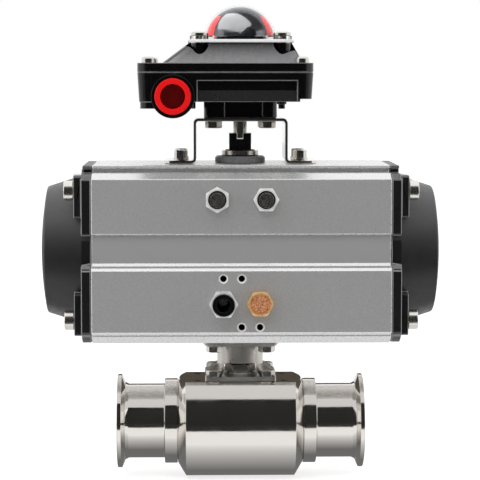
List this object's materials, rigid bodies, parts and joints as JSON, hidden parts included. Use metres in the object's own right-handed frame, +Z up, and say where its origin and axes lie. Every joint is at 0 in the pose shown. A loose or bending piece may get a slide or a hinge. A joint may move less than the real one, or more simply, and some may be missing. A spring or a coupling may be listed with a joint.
{
  "type": "pneumatic ball valve",
  "caption": "Clamp-end polished ball valve with a spring-return rack and pinion actuator and a domed position switch box on top.",
  "frame": {"origin": "centre of the ball, where the pipe's axis crosses the stem's axis", "axes": "+X along the pipe and the actuator, +Z up the stem towards the switch box, -Y towards the ports and the cable entry"},
  "size_m": [0.2686, 0.1274, 0.3213],
  "materials": {
    "polished_steel": "mirror-polished stainless steel",
    "bolt_steel": "plain stainless steel, lightly worn",
    "seat_white": "white fluoropolymer",
    "blasted_aluminium": "bead-blasted, hard-anodised",
    "bare_aluminium": "cast and machined",
    "black_coating": "black powder coat on die-cast aluminium",
    "black_pinion": "black, slightly glossy",
    "black_rubber": "matt",
    "grey_plastic": "satin moulded grey",
    "spring_steel": "oiled spring steel",
    "nickel": "nickel plate",
    "brass": "bare brass round a sintered copper disc",
    "clear_dome": "clear moulded plastic",
    "red_plastic": "smooth moulded red",
    "sensor_blue": "potted sensors on a board"
  },
  "bodies": {
    "frame": {"valve_body": "polished_steel", "left_connector": "polished_steel", "right_connector": "polished_steel", "valve_bracket": "polished_steel", "switch_bracket": "polished_steel", "bracket_screw_1": "bolt_steel", "bracket_screw_2": "bolt_steel", "bracket_screw_3": "bolt_steel", "bracket_screw_4": "bolt_steel", "actuator_bolt_1": "bolt_steel", "actuator_bolt_2": "bolt_steel", "actuator_bolt_3": "bolt_steel", "actuator_bolt_4": "bolt_steel", "end_cap_screw_1": "bolt_steel", "end_cap_screw_2": "bolt_steel", "end_cap_screw_3": "bolt_steel", "end_cap_screw_4": "bolt_steel", "end_cap_screw_5": "bolt_steel", "end_cap_screw_6": "bolt_steel", "end_cap_screw_7": "bolt_steel", "end_cap_screw_8": "bolt_steel", "stop_screw_1": "bolt_steel", "stop_screw_2": "bolt_steel", "stop_nut_1": "bolt_steel", "stop_nut_2": "bolt_steel", "foot_bolt_1": "bolt_steel", "foot_bolt_2": "bolt_steel", "foot_bolt_3": "bolt_steel", "foot_bolt_4": "bolt_steel", "left_seat": "seat_white", "right_seat": "seat_white", "stem_packing": "seat_white", "upper_bearing": "seat_white", "lower_bearing": "seat_white", "actuator_body": "blasted_aluminium", "left_end_cap": "black_coating", "right_end_cap": "black_coating", "box_base": "black_coating", "box_lid": "black_coating", "thrust_ring": "grey_plastic", "left_spring": "spring_steel", "right_spring": "spring_steel", "air_fitting": "nickel", "silencer": "brass", "dome": "clear_dome", "cable_plug": "red_plastic", "sensor_board": "sensor_blue"},
    "drive_train": {"ball": "polished_steel", "stem": "polished_steel", "gland_nut": "bolt_steel", "pinion": "black_pinion", "retaining_ring": "bolt_steel", "switch_shaft": "bolt_steel", "switch_cam": "red_plastic", "indicator": "red_plastic"},
    "left_piston_set": {"left_piston": "bare_aluminium", "left_piston_seal": "black_rubber"},
    "right_piston_set": {"right_piston": "bare_aluminium", "right_piston_seal": "black_rubber"},
    "collet": {"release_collet": "black_pinion"}
  },
  "joints": [
    {"name": "drive_turn", "type": "hinge", "parent": "frame", "child": "drive_train", "pos_m": [0, 0, 0], "axis": [0, 0, 1], "range_deg": [0, 90], "stiffness_Nm_per_rad": 1},
    {"name": "left_piston_slide", "type": "slide", "parent": "frame", "child": "left_piston_set", "axis": [-1, 0, 0], "range_m": [0, 0.02513], "deforming": ["left_spring"]},
    {"name": "right_piston_slide", "type": "slide", "parent": "frame", "child": "right_piston_set", "axis": [1, 0, 0], "range_m": [0, 0.02513], "deforming": ["right_spring"]},
    {"name": "collet_push", "type": "slide", "parent": "frame", "child": "collet", "axis": [0, 1, 0], "range_m": [0, 0.001], "stiffness_N_per_m": 500}
  ],
  "couplings": [
    {"joint": "drive_turn", "follows": "left_piston_slide", "rad_per_m": 62.5},
    {"joint": "right_piston_slide", "follows": "left_piston_slide", "ratio": 1}
  ]
}
